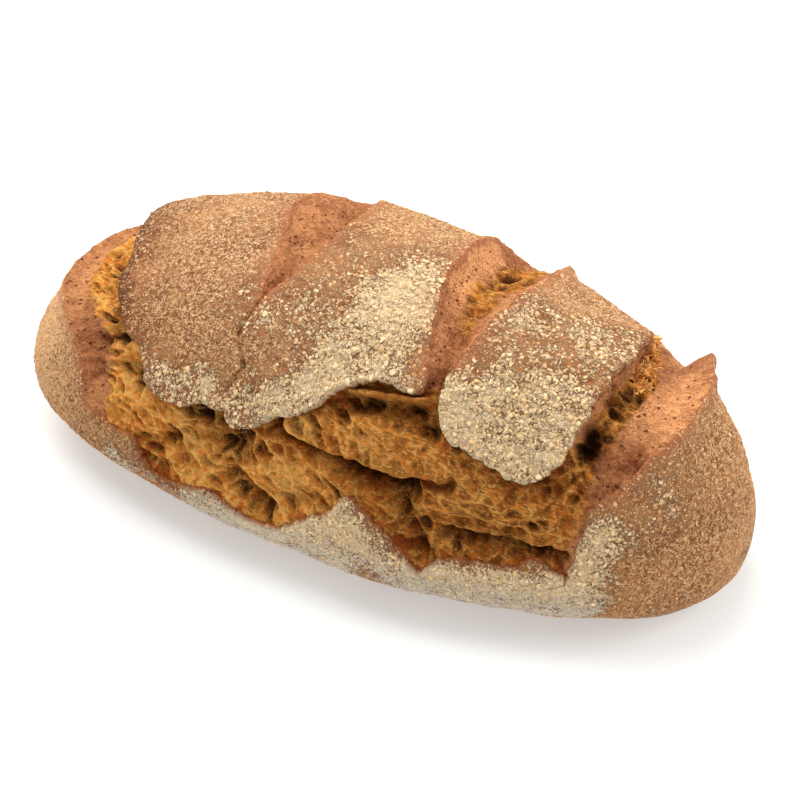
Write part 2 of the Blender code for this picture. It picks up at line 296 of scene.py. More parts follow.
def unit(rows):
    """The rows as directions of length 1."""
    return rows / np.linalg.norm(rows, axis=-1, keepdims=True)


# The plain form

NEIGHBOUR = 0.4  # how far off the points are that give a direction, in mm and degrees
TIP = 144.999  # mm along, past which a place is one of the loaf's two tips
LAST_DIRECTION = 144.3  # mm along of the last place whose direction is worked out
CAPSULE_FALL = 1.2


def rounded(share, roundness):
    """The height of a rounded arch: 1 in its middle and 0 at its two ends."""
    return (1 - np.abs(share) ** roundness) ** (1 / roundness)


def loaf_surface(along, around):
    """Points of the plain loaf, in mm."""
    share = np.clip(along / HALF_LENGTH, -1, 1)
    left = share < 0
    plan = np.where(left, rounded(share, PLAN_ROUNDNESS[0]), rounded(share, PLAN_ROUNDNESS[1]))
    crest = np.where(left, rounded(share, TOP_ROUNDNESS[0]), rounded(share, TOP_ROUNDNESS[1]))
    turn = np.radians(around)
    sideways = -np.sign(np.cos(turn)) * np.abs(np.cos(turn)) ** (2 / SIDE_ROUNDNESS)
    above = (HEIGHT - WAIST) * (1 + TOP_SWELL * share) * crest
    below = WAIST * UNDER_DROP * crest**UNDER_ROUNDNESS
    height = WAIST + np.sin(turn) * np.where(np.sin(turn) > 0, above, below)
    return np.stack([share * HALF_LENGTH, sideways * HALF_WIDTH * plan, height], -1)


def loaf_directions(along, around):
    """Unit directions out of the plain loaf, and up around its front."""
    tip = np.abs(along) > TIP
    along = np.clip(along, -LAST_DIRECTION, LAST_DIRECTION)
    onward = loaf_surface(along + NEIGHBOUR, around) - loaf_surface(along - NEIGHBOUR, around)
    upward = loaf_surface(along, around + NEIGHBOUR) - loaf_surface(along, around - NEIGHBOUR)
    normal = np.cross(onward, upward)
    normal /= np.linalg.norm(normal, axis=-1, keepdims=True) + TINY
    from_middle = loaf_surface(along, around) - (0, 0, WAIST)
    normal *= np.sign((normal * from_middle).sum(-1, keepdims=True))
    normal[tip] = np.sign(along[tip])[:, None] * (1.0, 0.0, 0.0)
    upward /= np.linalg.norm(upward, axis=-1, keepdims=True) + TINY
    return normal, upward * ~tip[:, None]


def capsule(points, start, end, radius):
    """1 inside a rounded band from start to end, falling softly to 0 outside it."""
    a, b = (loaf_surface(*np.array(place, float)) for place in (start, end))
    run = b - a
    t = np.clip(((points - a) @ run) / max(run @ run, 1e-6), 0, 1)
    gap = np.linalg.norm(points - (a + t[:, None] * run), axis=1) / radius
    return np.exp(-(gap**2) * CAPSULE_FALL)


def forms(points, listed):
    """The listed swellings and hollows, added up, in mm."""
    return sum(height * capsule(points, start, end, radius) for start, end, radius, height in listed)


# The torn edges

POINT_EVERY = 1.5  # mm between the points of a torn edge, before each gap is cut in three
THIRDS = (0, 0.34, 0.67)
PER_MM = ((0, 1.0), (1, 0.7))  # column of a place, and how much of it is about 1 mm
STRIDE = 3  # how many points off the edge's direction is read


def smooth_line(rows):
    """A closed Catmull-Rom curve through the rows."""
    rows = np.array(rows, float)
    found = []
    for i in range(len(rows)):
        a, b, c, d = (rows[(i + k) % len(rows)] for k in (-1, 0, 1, 2))
        bend, twist = 2 * a - 5 * b + 4 * c - d, 3 * b - a - 3 * c + d
        gap = np.linalg.norm(loaf_surface(b[0], b[1]) - loaf_surface(c[0], c[1]))
        for t in np.linspace(0, 1, max(2, round(gap / POINT_EVERY)), endpoint=False):
            found.append(0.5 * (2 * b + (c - a) * t + bend * t**2 + twist * t**3))
    return np.array(found)


def torn_outline(edges, seed):
    """The edge's places, points, directions into the tear, and its lip, ear, bake and burn."""
    line = smooth_line([(*place, *facts) for *facts, places in edges for place in places])
    smooth = loaf_surface(line[:, 0], line[:, 1])
    for axis, per_mm in PER_MM:
        wander = lumps(smooth, 5.0, seed + axis) + 0.5 * lumps(smooth, 2.2, seed + 2 + axis)
        line[:, axis] += wander * RAGGED * per_mm
    line = np.stack([line * (1 - t) + np.roll(line, -1, 0) * t for t in THIRDS], 1).reshape(-1, 6)
    smooth = loaf_surface(line[:, 0], line[:, 1])
    for axis, per_mm in PER_MM:
        line[:, axis] += waves(smooth, 2.0, seed + 60 + axis) * FRAYED * per_mm
    points = loaf_surface(line[:, 0], line[:, 1])
    normals = loaf_directions(line[:, 0], line[:, 1])[0]
    travel = unit(np.roll(points, -STRIDE, 0) - np.roll(points, STRIDE, 0))
    area = (line[:, 0] * np.roll(line[:, 1], -1) - line[:, 1] * np.roll(line[:, 0], -1)).sum()
    inward = np.cross(normals, travel) * np.sign(area)
    line[:, 2] = np.clip(line[:, 2], 0, 1)
    return line[:, :2], points, inward, line[:, 2:]


def within(along, around, outline):
    """Which places lie inside the outline, ring by ring."""
    found = np.zeros(len(along), bool)
    x0, v0 = outline.T
    x1, v1 = np.roll(outline, -1, 0).T
    for ring in np.unique(along):
        cut = (x0 > ring) != (x1 > ring)
        crossings = v0[cut] + (ring - x0[cut]) / (x1[cut] - x0[cut]) * (v1[cut] - v0[cut])
        if len(crossings):
            here = np.flatnonzero(along == ring)
            found[here] = (around[here][:, None] > crossings).sum(1) % 2 == 1
    return found


def edge_fields(along, around, points, normals, edges, seed):
    """Distance from the torn edge (negative in the tear), the way it grows, and the edge's four facts."""
    outline, line, inward, facts = torn_outline(edges, seed)
    tree = kdtree.KDTree(len(line))
    for i, p in enumerate(line):
        tree.insert(p, i)
    tree.balance()
    near = np.array([tree.find(p)[1] for p in points])
    best = np.full(len(points), np.inf)
    for a, b in ((near - 1, near), (near, (near + 1) % len(line))):
        start, run = line[a], line[b] - line[a]
        t = np.clip(((points - start) * run).sum(1) / (run * run).sum(1), 0, 1)
        best = np.minimum(best, np.linalg.norm(points - (start + run * t[:, None]), axis=1))
    distance = np.where(within(along, around, outline), -best, best)
    outward = -inward[near]
    outward = outward - normals * (outward * normals).sum(1)[:, None]
    return distance, outward, facts[near]


def laid_out(grid, fine_from, fine_to, share):
    """A flat sheet, and the place on the loaf that each of its points goes to when it is rolled up. Its ends
    come together at the loaf's two ends, and this share of its width covers the turn between two angles."""
    bpy.ops.object.select_all(action="DESELECT")
    bpy.ops.mesh.primitive_grid_add(x_subdivisions=grid[0], y_subdivisions=grid[1], size=2)
    piece = bpy.context.object
    sheet = np.empty(len(piece.data.vertices) * 3)
    piece.data.vertices.foreach_get("co", sheet)
    evenly, turn = np.round(sheet.reshape(-1, 3)[:, :2], 5).T
    near_end = 0.75  # from here to the end of the sheet the rings draw closer together
    spread = np.where(np.abs(evenly) < near_end, np.abs(evenly) * 2 / (1 + near_end),
                      1 - (1 - np.abs(evenly)) ** 2 / (1 - near_end**2))
    along = np.sign(evenly) * spread * HALF_LENGTH
    turn = (turn + 1) / 2
    around = np.where(
        turn < share,
        fine_from + turn / share * (fine_to - fine_from),
        fine_to + (turn - share) / (1 - share) * (360 - fine_to + fine_from),
    )
    around = (np.round(around, 5) + 90) % 360 - 90
    return piece, along, around


def fields(along, around):
    """Everything about the tears at each place, as a dictionary of arrays."""
    points = loaf_surface(along, around)
    normals, upward = loaf_directions(along, around)
    distance, outward, facts = edge_fields(along, around, points, normals, TEAR, 1)
    other = edge_fields(along, around, points, normals, SECOND_SLASH, 2)
    pick = other[0] < distance
    found = dict(points=points, normals=normals, upward=upward, around=around, second=pick)
    distance = np.where(pick, other[0], distance)
    found["outward"] = np.where(pick[:, None], other[1], outward)
    facts = np.where(pick[:, None], other[2], facts)
    for column, fact in enumerate(("lip", "ear", "bake", "burn")):
        found[fact] = facts[:, column]
    beside = np.abs(distance) < SNAP
    found["points"] = points - np.where(beside, distance, 0)[:, None] * found["outward"]
    distance = np.where(beside, 0, distance)
    found.update(distance=distance, inside=np.maximum(-distance, 0), outside=np.maximum(distance, 0))
    found["body"] = forms(points, BODY_FORMS)
    return found


def flattened(height):
    """The height above the table, bent softly flat where the loaf rests on it."""
    soft = (height + BASE_EDGE) ** 2 / (4 * BASE_EDGE)
    return np.where(height < -BASE_EDGE, 0, np.where(height > BASE_EDGE, height, soft))


# Relief

CRACK_DEPTH, CRACK_WIDTH = 1.6, 1.2
LIP_FLOUR_FADE = 7
PATCHES = ((0.13, 16.0, 21), (0.13, 6.0, 26))
FLAKE_SIZE, BLISTER_SIZE = 1.8, 4.5
EAR_FALL = 2  # mm over which a lifted edge falls away into the tear
EDGE_THICKNESS = 0.9
NECK_DEPTH = 1.0
EDGE_DROP, NECK_DROP, BODY_DROP = (0, 0.8), (0.7, 1.9), (1.6, 4.4)  # mm in from the edge that each drop takes
LIP_FADE = 3
TUCK = 3.2  # mm that the wall under a lip runs back past the plain edge
BURN_FADE, BAKED_FADE = 7, 2.5
SHOWN_FROM, SHOWN_TO = -26, 165  # degrees around between which loose flour and granules lie


def crust_waves(points):
    """The crust's slow swells and its crack, in mm."""
    height = 0.9 * lumps(points, 30.0, 3) + 0.35 * lumps(points, 9.0, 4)
    for start, end in zip(CRACK, CRACK[1:]):
        height -= CRACK_DEPTH * capsule(points, start, end, CRACK_WIDTH)
    return height


def ear_height(at):
    """How far the torn edge is lifted, fading on both sides of it, in mm."""
    out, into = np.exp(-((at["outside"] / EAR_WIDTH) ** 2)), np.exp(-at["inside"] / EAR_FALL)
    return np.where(at["distance"] > 0, out, into) * at["ear"]


def flour_depth(at):
    """How thickly flour lies, from 0 to 1, in broken patches."""
    points = at["points"]
    thick = DUSTING + forms(points, FLOUR)
    thick += LIP_FLOUR * at["lip"] * (1 - at["burn"]) * np.exp(-at["outside"] / LIP_FLOUR_FADE)
    return np.clip(thick + layers(points, PATCHES), 0, 1)


def crust_grain(points, flour):
    """Low relief of flakes of flour, grain and blisters, in mm."""
    flake, flake_name = bubbles(points + 0.4 * waves(points, 1.5, 33)[:, None], FLAKE_SIZE, 31)
    blister = bubbles(points + 0.8 * waves(points, 3, 33)[:, None], BLISTER_SIZE, 32)[0]
    grain = 0.8 * ramp(flour, 0.3, 0.75) * ramp(flake, 0.02, 0.3) * (0.3 + 0.7 * flake_name)
    grain += 0.3 * waves(points, 1.2, 34) + 0.25 * ramp(blister, 0, 0.5) + 0.3 * waves(points, 3.0, 35)
    return grain


def shape_crust(piece, at):
    """The baked skin, whose torn edges stand free and which runs on deep under the crumb."""
    points, distance, lip = at["points"], at["distance"], at["lip"]
    inside, outside = at["inside"], at["outside"]
    flour = flour_depth(at)
    front = ramp(at["around"], -25, 0) * (1 - ramp(at["around"], 140, 170))
    grain = crust_grain(points, flour) * (0.15 + 0.85 * front) * ramp(distance, -1.5, 0.2)
    height = ear_height(at)
    height += crust_waves(points) + at["body"] + grain
    thick = LIP_THICKNESS * lip + EDGE_THICKNESS
    wall = thick * ramp(inside, *EDGE_DROP) + NECK_DEPTH * ramp(inside, *NECK_DROP)
    wall += FLOOR_DEPTH * ramp(inside, *BODY_DROP)
    lean = -LIP_REACH * np.exp(-outside / LIP_FADE) + (LIP_REACH + TUCK) * ramp(inside, 0.6, 2.4)
    layered = 0.5 * waves(points * (1, 1, 2.5), 1.3, 36) * ramp(inside, 0, 0.4)
    placed = points + at["normals"] * (height - wall + layered)[:, None]
    placed += at["outward"] * (lean * lip + layered)[:, None]
    placed[:, 2] = flattened(placed[:, 2])
    finish(piece, placed)
    shown = (distance > SNAP) & (at["around"] > SHOWN_FROM) & (at["around"] < SHOWN_TO)
    at.update(placed=placed - CENTRE, flour=flour, shown=shown, facing=facing(piece))
    write(piece, "flour", flour)
    write(piece, "burn", at["burn"] * np.exp(-outside / BURN_FADE))
    write(piece, "baked", ramp(at["bake"], 2, 8) * np.exp(-outside / BAKED_FADE) * (1 - lip))
    write(piece, "wall", ramp(inside, 0.1, 0.8))


STRAND = np.array((0.88, -0.12, -0.46)) / np.linalg.norm((0.88, -0.12, -0.46))  # the way the left crumb tore
# Webs of bubbles in the crumb: how far they are drawn out along the strands, size in mm, seed, wall thickness
LONG_WEB = (2.6, 3.6, 46, 0.12)  # in the left part
ROUND_WEB = (1.2, 5.0, 47, 0.10)  # in the right part
FINE_WEB = (1.5, 1.9, 48, 0.14)
CAVE_STRETCH, CAVE_SIZE = 1.6, 8.0
FIBRE_STRETCH, FIBRE_SIZE = 5.0, 1.3
SMOOTH_WAVES = ((0.6, 4.0, 56), (0.35, 1.4, 57))
PORE_SIZE, PORE_DEPTH = 2.2, 0.8
SHALLOW = 0.55  # the second slash's depth, as a share of the tear's
UNDER_CRUST = 4.5  # how far the crumb goes down beside the tear, under the crust
LOWEST = 3.0  # height in mm that the crumb's hidden underside keeps


def drawn_out(points, amount):
    """Points pressed together along the strands, so that what is laid on them is drawn out this much."""
    return points - (points @ STRAND)[:, None] * STRAND * (1 - 1 / amount)


def web(points, stretch, size, seed, thickness):
    """A web of thin walls round bubbles: 1 on a wall to 0 in a bubble, and how deep the bubble is."""
    gap, name = bubbles(drawn_out(points, stretch), size, seed)
    return np.exp(-gap / thickness), ramp(gap, 0.0, 0.55) * (0.3 + 0.7 * name)


def torn_texture(p):
    """Relief in mm of stretched bubbles, caves and fibres, how far it is web wall, and its depth as painted
    shade.
    """
    warped = p + push(p, 1.6, 6.0, 42)
    warped += push(p, 0.5, 2.2, 62)
    left = 1 - ramp(p[:, 0] + 8 * waves(p, 15.0, 45), 15, 45)
    wall_long, deep_long = web(warped, *LONG_WEB)
    wall_round, deep_round = web(warped, *ROUND_WEB)
    wall_fine, deep_fine = web(warped, *FINE_WEB)
    large, large_name = bubbles(drawn_out(warped, CAVE_STRETCH), CAVE_SIZE, 49)
    wall = left * wall_long + (1 - left) * wall_round
    deep = left * deep_long + (1 - left) * deep_round
    caves = ramp(large, 0.1, 0.5) * ramp(large_name, 0.45, 0.85)
    swayed = p + 0.5 * waves(p, 3.0, 50)[:, None]
    fibres = np.abs(waves(drawn_out(swayed, FIBRE_STRETCH), FIBRE_SIZE, 51))
    relief = 1.4 + 1.1 * waves(p, 8.0, 52) - (2.2 + 0.8 * left) * deep - (0.35 + 0.4 * left) * deep_fine
    relief -= 2.6 * caves + (0.15 + 0.3 * left) * fibres
    walls = np.maximum(wall, 0.7 * wall_fine) * (1 - 0.8 * caves)
    return relief, walls, 0.55 * deep + 0.3 * deep_fine + 0.5 * caves + 0.2 * fibres


def baked_texture(p):
    """Relief in mm of the smooth baked walls, and where their pores are."""
    pores, pore_name = bubbles(p, PORE_SIZE, 55)
    pore = ramp(pores, 0.5, 0.75) * (pore_name > 0.6)
    return layers(p, SMOOTH_WAVES) - PORE_DEPTH * pore, pore


def crumb_level(at):
    """How high the crumb lies over the plain loaf before its relief: level with the crust, and down into the
    tear, in mm."""
    lip = at["lip"]
    behind = np.clip((at["around"] - FADE_FROM) / (FADE_TO - FADE_FROM), 0, 1)
    depth = np.where(at["second"], SHALLOW, 1.0) * (1 - 0.75 * behind) * TEAR_DEPTH
    fall = RIDGE_SLOPE * (1 - lip) + 1.2 * lip
    edge_drop = LIP_THICKNESS * lip
    level = crust_waves(at["points"]) + 0.12 * (1 - lip) - 0.1 - edge_drop
    return ear_height(at) + (level - (depth - edge_drop) * (1 - np.exp(-at["inside"] / fall)))


def shape_crumb(piece, at):
    """The torn crumb: swellings, hollows and torn relief, and smooth baked walls beside the slashes."""
    points, inside = at["points"], at["inside"]
    height = crumb_level(at)
    torn = at["distance"] < 1.0
    p, into, lip, deepest = points[torn], inside[torn], at["lip"][torn], at["bake"][torn]
    wander = 2.5 * waves(p, 5.0, 41) * np.minimum(into / 5, 1)
    bake = ramp(deepest - into + wander, -1.5, 2.5) * ramp(deepest, 0, 3)
    rough, walls, deep = torn_texture(p)
    smooth, pore = baked_texture(p)
    height[torn] += (rough * (1 - bake) + smooth * bake) * np.minimum(into / 3, 1)
    full = np.minimum(inside / 4, 1)
    height = height + forms(points, CRUMB_FORMS) * full - UNDER_CRUST * ramp(at["outside"], 0, 3) + at["body"]
    sag = -forms(points, SAGGING) * full
    placed = points + at["normals"] * height[:, None] + at["upward"] * sag[:, None]
    placed[:, 2] = np.maximum(placed[:, 2], LOWEST)
    finish(piece, placed)
    at.update(placed=placed - CENTRE, facing=facing(piece), rough=np.zeros(len(points)))
    hollow = -np.minimum(forms(p, CRUMB_FORMS), 0) / 8
    at["rough"][torn] = (1 - bake) * (into > 1.0) * (hollow < 0.35)
    for name, values in (
        ("bake", bake),
        ("web", walls),
        # how deep each place lies, which the finish paints as shade in the crumb's depths
        ("depth", np.clip(deep + 0.5 * hollow, 0, 1)),
        ("pore", pore),
        # the walls' tone, partly their own and partly painted light and shade
        ("tan_and_painted_light", 0.5 + forms(p, WALL_TONES_AND_PAINTED_LIGHT)),
        ("toast", lip * np.exp(-into / 3.5) + 0.5 * np.exp(-into / 2)),
    ):
        whole = np.zeros(len(points))
        whole[torn] = values
        write(piece, name, whole)


# Flour, granules and shreds

FLAKES = dict(radius=0.62, height=0.18, sides=7, crowned=True)
GRANULES = dict(radius=0.55, height=0.3, sides=5, crowned=False)
SHREDS = dict(count=150, length=3.2, width=1.1, seed=84)
FLAKE_GAP, GRANULE_GAP = 1.4, 1.35  # mm between neighbours
CREST = ((98, 112), (105, 88), 6)  # where the shreds stand: two places and radius
LUMP_TILT, SHRED_TILT = 0.2, 0.45
SIZE_SPREAD = 0.33
RIM_SUNK, POINT_SUNK, SHRED_SUNK = 0.2, 0.5, 0.8  # mm that each goes down into what it stands on
SHRED_STEPS = 5


def facing(piece):
    """The directions that the piece's points face, from its faces."""
    found = np.empty(len(piece.data.vertices) * 3, np.float32)
    piece.data.vertex_normals.foreach_get("vector", found)
    found = found.reshape(-1, 3)
    outward = (found * (np.array([v.co for v in piece.data.vertices]) - (0, 0, 0.04))).sum()
    return found * np.sign(outward)


def chosen(at, weight, spacing, seed):
    """Places about this far apart in mm, each kept by the chance that its weight gives."""
    dice = np.random.default_rng(seed)
    able = dice.permutation(np.flatnonzero(at["shown"] & (weight > 0)))
    cell = np.floor(at["placed"][able] / spacing).astype(np.int64) + 500
    first = np.unique((cell * (1, 1000, 1000000)).sum(1), return_index=True)[1]
    picked = able[np.sort(first)]
    return picked[dice.random(len(picked)) < weight[picked]], dice


def many_alike(name, points, faces, dice):
    """One piece of many small shapes with the same faces and their own points, and a random tone for each."""
    count, step = points.shape[:2]
    mesh = bpy.data.meshes.new(name)
    mesh.from_pydata(within_size(points.reshape(-1, 3) * MM).tolist(), [],
                     [tuple(i + n * step for i in face) for n in range(count) for face in faces])
    piece = bpy.data.objects.new(name, mesh)
    bpy.context.scene.collection.objects.link(piece)
    write(piece, "tone", np.repeat(dice.random(count), step))
    return piece


def scattered_lumps(name, at, picked, dice, radius, height, sides, crowned):
    """Small irregular lumps sunk a little into the crust."""
    count = len(picked)
    centre, up = at["placed"][picked], unit(at["facing"][picked] + LUMP_TILT * dice.normal(size=(count, 3)))
    across = unit(np.cross(up, dice.normal(size=(count, 3))))
    other = np.cross(up, across)
    size = radius * np.exp(SIZE_SPREAD * dice.normal(size=count).clip(-1.5, 2))
    tall = height * (0.5 + 0.8 * dice.random(count))
    turn = (np.arange(sides) + 0.35 * dice.random((count, sides))) * 2 * math.pi / sides
    reach = size[:, None] * (0.6 + 0.8 * dice.random((count, sides)))
    flat = 0.65 + 0.35 * dice.random(count)
    rim = (across[:, None] * (np.cos(turn) * reach)[..., None]
           + other[:, None] * (np.sin(turn) * reach * flat[:, None])[..., None])
    rows = [centre + up * tall[:, None]]
    if crowned:
        lift = tall[:, None] * (0.6 + 0.5 * dice.random((count, sides)))
        rows += list((centre[:, None] + rim * 0.75 + up[:, None] * lift[..., None]).transpose(1, 0, 2))
    rows += list((centre[:, None] + rim - up[:, None] * RIM_SUNK).transpose(1, 0, 2))
    rows.append(centre - up * POINT_SUNK)
    outer = 1 + sides * crowned
    faces = []
    for k in range(sides):
        after = (k + 1) % sides
        faces.append((0, 1 + k, 1 + after))
        if crowned:
            faces.append((1 + k, 1 + sides + k, 1 + sides + after, 1 + after))
        faces.append((outer + after, outer + k, len(rows) - 1))
    return many_alike(name, np.stack(rows, 1), faces, dice)


def torn_shreds(name, at, weight, count, length, width, seed):
    """Shreds of torn crumb that stand up from it, each a curved four-sided blade drawn out to a point."""
    dice = np.random.default_rng(seed)
    corners = ((1, 0), (0, 1), (-1, 0), (0, -1))
    picked = dice.choice(len(weight), size=count, p=weight / weight.sum())
    base, up = at["placed"][picked], unit(at["facing"][picked] + SHRED_TILT * dice.normal(size=(count, 3)))
    side = unit(np.cross(up, dice.normal(size=(count, 3))))
    over = np.cross(up, side)
    t = np.linspace(0, 1, SHRED_STEPS)
    tall = length * dice.uniform(0.5, 1.15, count)
    path = (base[:, None] - up[:, None] * SHRED_SUNK + up[:, None] * (tall[:, None] * t)[..., None]
            + side[:, None] * (dice.normal(0, 0.3, count)[:, None] * tall[:, None] * t**2)[..., None])
    thick = width * dice.uniform(0.6, 1.2, count)[:, None] * (1 - 0.85 * t**1.3)[None]
    ring = [path + side[:, None] * (a * thick)[..., None] + over[:, None] * (b * 0.45 * thick)[..., None]
            for a, b in corners]
    sides = len(corners)
    faces = []
    for low in range(0, sides * (SHRED_STEPS - 1), sides):
        for n in range(sides):
            after = (n + 1) % sides
            faces.append((low + n, low + after, low + sides + after, low + sides + n))
    faces += [(3, 2, 1, 0), tuple(sides * (SHRED_STEPS - 1) + n for n in range(sides))]
    piece = many_alike(name, np.stack(ring, 2).reshape(count, -1, 3), faces, dice)
    piece.data.polygons.foreach_set("use_smooth", [True] * len(piece.data.polygons))
    return piece


def write(piece, name, values):
    """Keeps a number for each of the piece's points, for its material to read."""
    layer = piece.data.attributes.new(name, "FLOAT", "POINT")
    layer.data.foreach_set("value", np.asarray(values, np.float32))


def within_size(points):
    """The points in metres, kept within the loaf's real length, width and height."""
    return np.clip(points, *cad_box)


def finish(piece, placed):
    """Moves the piece's points to their places, given in mm."""
    placed = within_size((placed - CENTRE) * MM)
    piece.data.vertices.foreach_set("co", placed.astype(np.float32).ravel())
    piece.data.update()


def thinned(piece, name):
    """Names the piece, joins its seam and ends, turns its faces outwards and thins it where it is plain."""
    piece.name = piece.data.name = name
    bpy.ops.object.select_all(action="DESELECT")
    piece.select_set(True)
    bpy.context.view_layer.objects.active = piece
    bpy.ops.object.mode_set(mode="EDIT")
    bpy.ops.mesh.select_all(action="SELECT")
    bpy.ops.mesh.remove_doubles(threshold=2e-6)
    bpy.ops.mesh.dissolve_degenerate(threshold=1e-7)
    bpy.ops.mesh.normals_make_consistent(inside=False)
    bpy.ops.object.mode_set(mode="OBJECT")
    count = sum(len(p.vertices) - 2 for p in piece.data.polygons)
    if count > PIECE_TRIANGLES:
        thin = piece.modifiers.new("thin", "DECIMATE")
        thin.ratio = PIECE_TRIANGLES / count
        bpy.ops.object.modifier_apply(modifier=thin.name)
        points = np.empty(len(piece.data.vertices) * 3)
        piece.data.vertices.foreach_get("co", points)
        piece.data.vertices.foreach_set("co", within_size(points.reshape(-1, 3)).ravel())
    bpy.ops.object.shade_smooth()


# Finishes

# Colours on the screen's scale of 0 to 255
SKIN_DARK, SKIN_LIGHT, SKIN_BURNT = (132, 78, 44), (172, 112, 66), (92, 50, 30)
GRAIN_LOW, GRAIN_HIGH = (220, 172, 120), (236, 192, 142)
UNDER_FLOUR = (138, 76, 38)
FLOUR_LOW, FLOUR_HIGH, FLOUR_BROWNED = (226, 216, 200), (250, 222, 178), (236, 200, 148)
SHOULDER_LIGHT, SHOULDER_DARK = (196, 126, 82), (162, 96, 62)
TORN_DARK, TORN_LIGHT = (134, 62, 24), (200, 116, 54)
RAW_PALE, RAW_GOLD, RAW_BROWN = (224, 168, 86), (206, 134, 54), (136, 76, 24)
RIDGE_PALE, RIDGE_ORANGE = (244, 188, 104), (224, 138, 54)
# The first colour here is painted shade, the dark brown of the crumb's depths.
PAINTED_SHADE_BROWN, TOASTED = (62, 34, 9), (158, 70, 20)
TAN_DARK, TAN_LIGHT, TAN_SPECK = (112, 54, 28), (232, 164, 108), (150, 82, 46)
PORE_BROWN, HOLE_BROWN = (104, 46, 26), (104, 38, 22)
FLAKE_LIGHT, FLAKE_DARK = (244, 216, 168), (222, 184, 132)
GRANULE_LIGHT, GRANULE_DARK = (226, 180, 132), (196, 142, 92)
SHRED_LIGHT, SHRED_DARK = (240, 184, 108), (214, 142, 70)


class Mixer:
    """Adds nodes to one material, each call giving back the node's first output."""

    def __init__(self, name):
        self.material = bpy.data.materials.new(name)
        self.material.use_nodes = True
        self.tree = self.material.node_tree
        self.shader = self.tree.nodes["Principled BSDF"]
        self.place = self.add("ShaderNodeTexCoord").node.outputs["Object"]

    def add(self, kind, inputs=(), **settings):
        made = self.tree.nodes.new(kind)
        for key, value in settings.items():
            setattr(made, key, value)
        for key, value in dict(inputs).items():
            if isinstance(value, bpy.types.NodeSocket):
                self.tree.links.new(value, made.inputs[key])
            else:
                made.inputs[key].default_value = value
        return made.outputs[0]

    def value(self, name):
        """A number kept on the piece's points by write."""
        return self.add("ShaderNodeAttribute", attribute_name=name).node.outputs["Fac"]

    def axis(self, letter):
        """The place along one axis, in metres."""
        return self.add("ShaderNodeSeparateXYZ", {"Vector": self.place}).node.outputs[letter]

    def noise(self, size, detail=3.0, rough=0.55, place=None):
        return self.add("ShaderNodeTexNoise", {"Vector": place or self.place, "Scale": 1 / (size * MM),
                                               "Detail": detail, "Roughness": rough})

    def pushed(self, size, amount):
        """The place pushed about by noise, by up to half this amount in mm."""
        push = self.noise(size, 2).node.outputs["Color"]
        return self.add("ShaderNodeVectorMath", {0: push, 1: (amount * MM,) * 3, 2: self.place},
                        operation="MULTIPLY_ADD")

    def cells(self, size, feature="F1", place=None):
        return self.add("ShaderNodeTexVoronoi", {"Vector": place or self.place, "Scale": 1 / (size * MM)},
                        feature=feature)

    def stretched(self, turn, scale):
        return self.add("ShaderNodeMapping", {"Vector": self.place, "Rotation": turn, "Scale": scale})

    def fit(self, value, low, high, to_low=0.0, to_high=1.0):
        """The value from low to high made one from to_low to to_high, and held there outside them."""
        return self.add("ShaderNodeMapRange", {"Value": value, "From Min": low, "From Max": high,
                                               "To Min": to_low, "To Max": to_high},
                        interpolation_type="SMOOTHSTEP")

    def sum(self, a, b):
        return self.add("ShaderNodeMath", {0: a, 1: b}, operation="ADD")

    def less(self, a, b):
        return self.add("ShaderNodeMath", {0: a, 1: b}, operation="SUBTRACT")

    def times(self, a, b):
        return self.add("ShaderNodeMath", {0: a, 1: b}, operation="MULTIPLY")

    def greater(self, a, b):
        return self.add("ShaderNodeMath", {0: a, 1: b}, operation="MAXIMUM")

    def mix(self, share, a, b):
        """The first colour where share is 0, the second where it is 1."""
        made = self.add("ShaderNodeMix", data_type="RGBA").node
        for key, value in (("Factor_Float", share), ("A_Color", a), ("B_Color", b)):
            socket = next(s for s in made.inputs if s.identifier == key)
            if isinstance(value, bpy.types.NodeSocket):
                self.tree.links.new(value, socket)
            elif key == "Factor_Float":
                socket.default_value = value
            else:
                socket.default_value = colour(*value)
        return next(s for s in made.outputs if s.identifier == "Result_Color")

    def finish(self, base, roughness, bump, depth, shine=0.2):
        """Gives the shader its colour, roughness, bump (of this depth in mm) and shine."""
        self.tree.links.new(base, self.shader.inputs["Base Color"])
        if isinstance(roughness, bpy.types.NodeSocket):
            self.tree.links.new(roughness, self.shader.inputs["Roughness"])
        else:
            self.shader.inputs["Roughness"].default_value = roughness
        raised = self.add("ShaderNodeBump", {"Height": bump, "Distance": depth * MM, "Strength": 1.0})
        self.tree.links.new(raised, self.shader.inputs["Normal"])
        self.shader.inputs["Specular IOR Level"].default_value = shine
        return self.material


def linear(shade):
    """A shade on the screen's scale of 0 to 255, as the shader's linear value."""
    return ((shade / 255 + 0.055) / 1.055) ** 2.4 if shade > 10 else shade / 255 / 12.92


def colour(red, green, blue):
    return (linear(red), linear(green), linear(blue), 1)


def grainy_skin(m, burn, middle, coarse, fine):
    """The baked skin's colour, burnt in places, and where its pale grain is, more at the left end as painted
    light.
    """
    skin = m.mix(m.fit(m.sum(m.noise(18, 2), middle), 0.85, 1.15), SKIN_DARK, SKIN_LIGHT)
    burnt = m.sum(burn, m.fit(middle, 0.35, 0.65, -0.2, 0.2))
    skin = m.mix(m.fit(burnt, 0.2, 0.8, 0.0, 0.85), skin, SKIN_BURNT)
    speck_and_painted_light = m.sum(m.times(fine, 0.55), m.times(coarse, 0.45))
    # Painted light: more pale grain towards the left end, so that it looks more brightly lit.
    speck_and_painted_light = m.sum(speck_and_painted_light, m.fit(m.axis("X"), -0.13, -0.09, 0.09, 0.0))
    grain = m.fit(m.less(speck_and_painted_light, m.times(burn, 0.1)), 0.45, 0.56)
    pale = m.mix(m.fit(m.axis("Z"), 0.06, 0.1), GRAIN_LOW, GRAIN_HIGH)
    return m.mix(grain, skin, pale), grain


